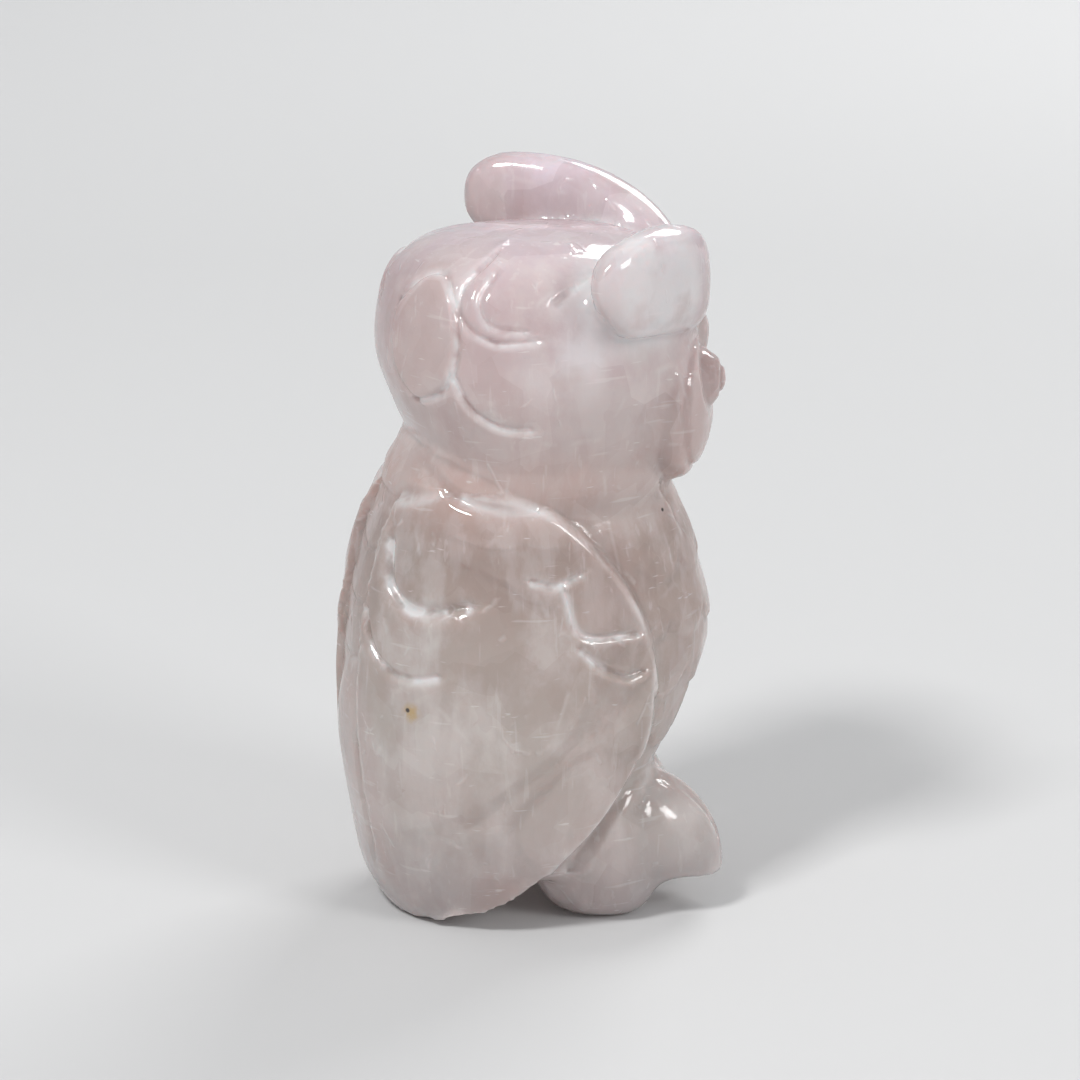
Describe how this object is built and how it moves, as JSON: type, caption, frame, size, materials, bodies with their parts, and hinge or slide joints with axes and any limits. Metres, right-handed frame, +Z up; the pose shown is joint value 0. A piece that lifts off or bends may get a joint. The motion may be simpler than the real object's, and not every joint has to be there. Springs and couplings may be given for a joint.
{
  "type": "carved owl figurine",
  "caption": "Seated owl cut and polished from pale pink rose quartz, with brow tufts, folded wings, tail and rounded feet; it stands on its heels and tail.",
  "frame": {"origin": "on the ground, under the middle of the bounding box", "axes": "+Z up from the soles to the ear tufts; the owl looks along -Y; its left side is +X and its right side is -X"},
  "size_m": [0.0487, 0.0529, 0.0999],
  "materials": {
    "quartz_trunk": "polished",
    "quartz_head": "polished",
    "quartz_tuft": "polished",
    "quartz_wing": "polished",
    "quartz_foot": "polished"
  },
  "bodies": {
    "root": {"trunk": "quartz_trunk", "head": "quartz_head", "beak": "quartz_head", "tail": "quartz_wing", "wing_left": "quartz_wing", "wing_right": "quartz_wing", "ear_tuft_left": "quartz_tuft", "ear_tuft_right": "quartz_tuft", "face_disc_left": "quartz_head", "face_disc_right": "quartz_head", "eye_left": "quartz_head", "eye_right": "quartz_head", "heel_left": "quartz_foot", "heel_right": "quartz_foot", "toes_left": "quartz_foot", "toes_right": "quartz_foot"}
  },
  "joints": []
}
